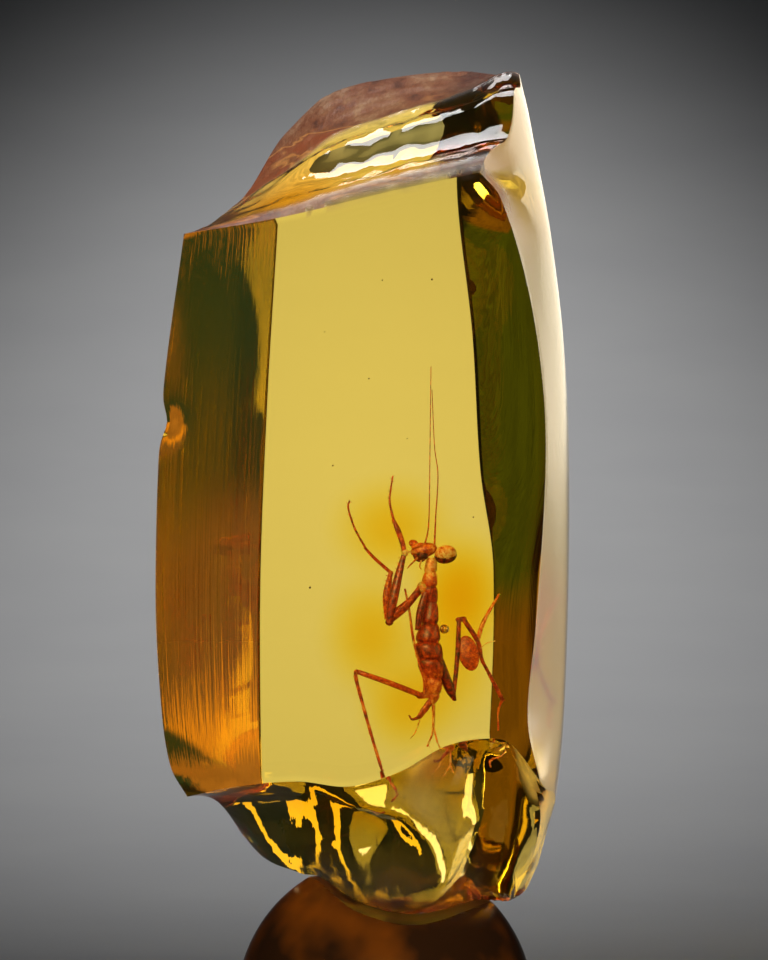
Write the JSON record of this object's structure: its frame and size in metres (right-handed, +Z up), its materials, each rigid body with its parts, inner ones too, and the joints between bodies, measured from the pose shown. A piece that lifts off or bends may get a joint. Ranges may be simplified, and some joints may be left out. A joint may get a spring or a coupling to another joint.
{
  "type": "praying mantis in amber",
  "caption": "Upright polished piece of clear amber with broken ends and a praying mantis sealed inside, resting on a small dark domed stand.",
  "frame": {"origin": "middle of the footprint of the whole object, on the surface that the stand rests on", "axes": "+Z up along the tall way of the amber, -Y out of the flat polished face, +X to the right of a viewer who faces that face"},
  "size_m": [0.02, 0.0146, 0.0499],
  "materials": {
    "amber": "clear golden amber, faces polished, ends broken and glossy",
    "mantis": "red-brown insect cuticle with a dull sheen",
    "stand": "dark brown cast resin, polished"
  },
  "bodies": {
    "root": {"amber_front": "amber", "amber_back": "amber", "mantis": "mantis", "stand": "stand"}
  },
  "joints": []
}
